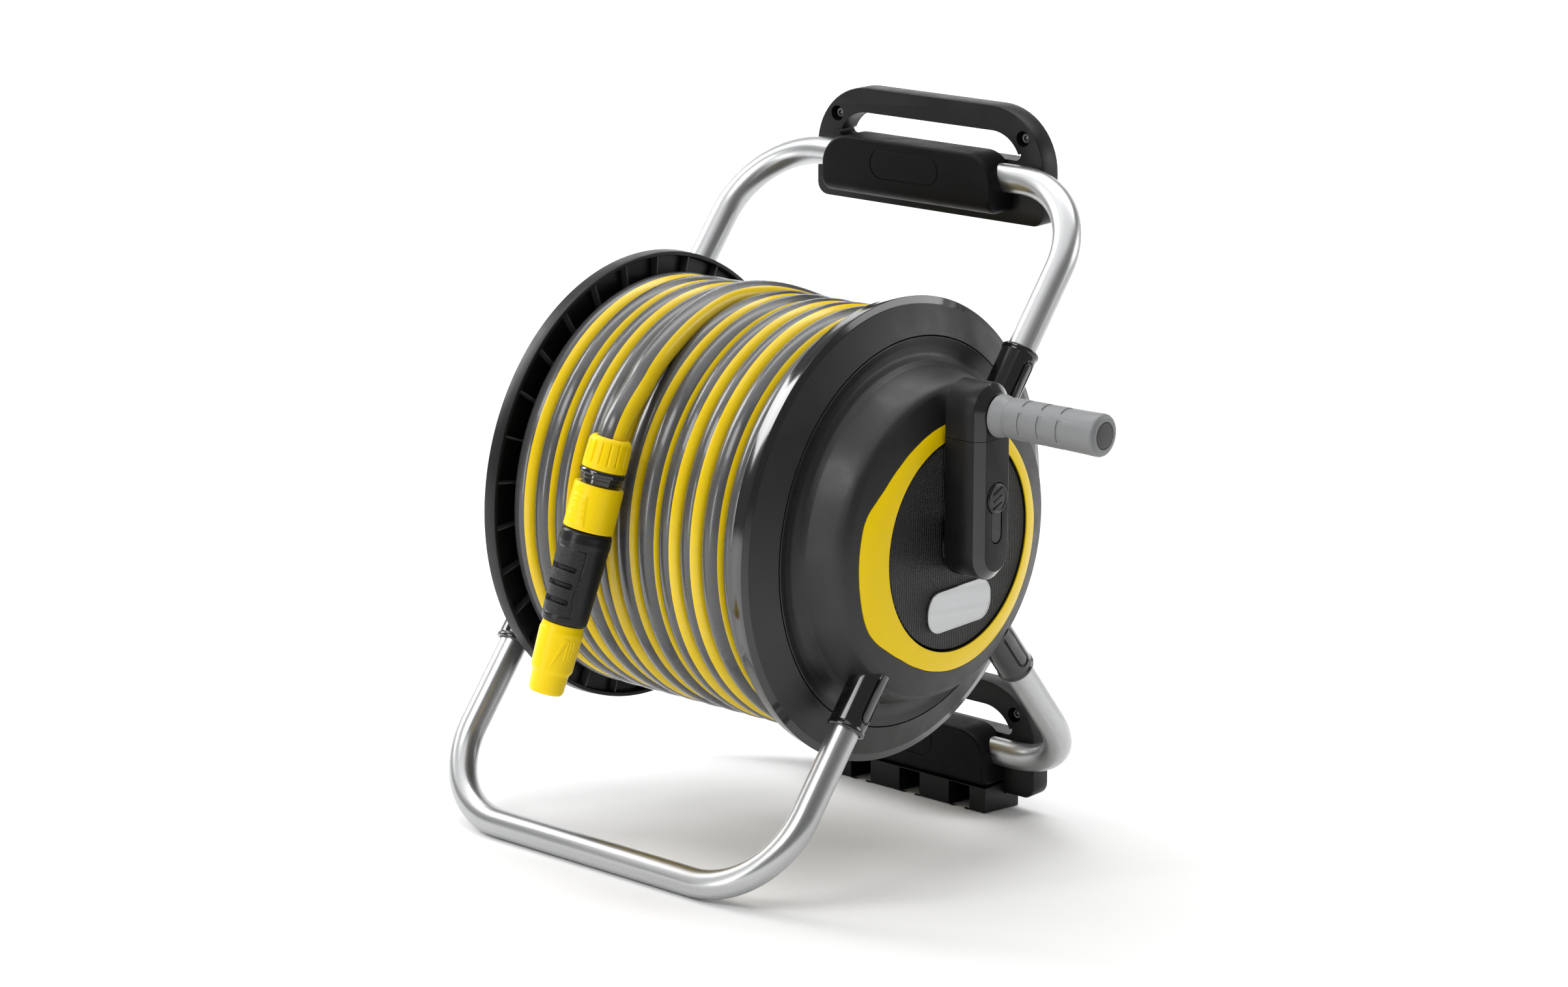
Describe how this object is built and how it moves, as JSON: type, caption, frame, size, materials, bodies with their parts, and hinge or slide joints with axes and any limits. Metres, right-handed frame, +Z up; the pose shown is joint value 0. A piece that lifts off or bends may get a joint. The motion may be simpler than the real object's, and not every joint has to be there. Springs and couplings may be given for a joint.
{
  "type": "free-standing garden hose reel",
  "caption": "Free-standing portable garden hose reel: bent tube stand with carrying handle, drum of wound hose, folding crank, quick coupling and spray nozzle.",
  "frame": {"origin": "floor level, under the middle of the object's box measured without the free end of the hose and the coil", "axes": "+X along the reel's axle towards the crank, +Z up, -Y towards the side the hose comes off"},
  "size_m": [0.5578, 0.4635, 0.5656],
  "materials": {
    "aluminium": "satin drawn tube",
    "steel": "plain",
    "badge_silver": "brushed",
    "black_gloss": "polished",
    "black_matt": "fine grained",
    "dark_grey": "fine grained",
    "yellow": "smooth",
    "grip_grey": "fine grained",
    "hose_skin": "glossy soft plastic with a yellow stripe",
    "rubber_black": "soft",
    "brass": "turned"
  },
  "bodies": {
    "frame": {"tube_handle": "aluminium", "tube_front_leg": "aluminium", "tube_rear_leg": "aluminium", "hub_right": "dark_grey", "hub_left": "dark_grey", "hub_cap_left": "black_matt", "bush_right": "brass", "bush_left": "brass", "socket_handle_right": "black_gloss", "socket_handle_left": "black_gloss", "socket_front_leg_right": "black_gloss", "socket_front_leg_left": "black_gloss", "socket_rear_leg_right": "black_gloss", "socket_rear_leg_left": "black_gloss", "top_bracket_plate": "black_matt", "top_bracket_cover": "black_matt", "top_screw_left": "steel", "top_screw_right": "steel", "foot_bracket_plate": "black_matt", "foot_bracket_cover": "black_matt", "foot_screw_left": "steel", "foot_screw_right": "steel", "yellow_inlay": "yellow", "accessory_holder": "black_matt", "spindle_seal": "rubber_black"},
    "reel": {"reel_core": "black_matt", "reel_flange_right": "dark_grey", "reel_flange_left": "black_matt", "crank_shaft": "steel", "water_spindle": "brass", "drum_outlet": "black_matt", "crank_disc": "dark_grey", "badge": "badge_silver", "crank_arm": "black_matt", "hose_coil": "hose_skin", "hose_tail": "hose_skin", "hose_nut": "yellow", "coupling_neck": "black_gloss", "nozzle_body": "black_matt"},
    "head": {"crank_head": "black_matt", "grip_pin": "steel"},
    "grip": {"grip_sleeve": "grip_grey", "grip_end_cap": "black_matt"},
    "lock": {"lock_lever": "black_matt"},
    "spray_tip": {"nozzle_tip": "yellow"},
    "coupling": {"coupling_sleeve": "yellow"},
    "inlet": {"inlet_elbow": "black_matt", "inlet_nipple": "yellow"}
  },
  "joints": [
    {"name": "reel_turn", "type": "hinge", "parent": "frame", "child": "reel", "pos_m": [-0.04206, -0.03383, 0.26059], "axis": [1, 0, 0], "continuous": true},
    {"name": "grip_fold", "type": "hinge", "parent": "reel", "child": "head", "pos_m": [0.18294, -0.04235, 0.3445], "axis": [0, 0.9949, 0.1011], "range_deg": [0, 90]},
    {"name": "grip_spin", "type": "hinge", "parent": "head", "child": "grip", "pos_m": [0.18394, -0.04414, 0.36206], "axis": [1, 0, 0], "continuous": true},
    {"name": "lock_press", "type": "hinge", "parent": "reel", "child": "lock", "pos_m": [0.17994, -0.03464, 0.26855], "axis": [0, -0.9949, -0.1011], "range_deg": [0, 6], "stiffness_Nm_per_rad": 0.5},
    {"name": "spray_twist", "type": "hinge", "parent": "reel", "child": "spray_tip", "pos_m": [-0.06036, -0.23511, 0.16211], "axis": [-0.1097, -0.1698, -0.9794], "range_deg": [-90, 180]},
    {"name": "coupling_release", "type": "slide", "parent": "reel", "child": "coupling", "axis": [0.1097, 0.1698, 0.9794], "range_m": [0, 0.0035], "stiffness_N_per_m": 900},
    {"name": "inlet_swivel", "type": "hinge", "parent": "frame", "child": "inlet", "pos_m": [-0.24606, -0.03383, 0.26059], "axis": [1, 0, 0], "continuous": true}
  ]
}
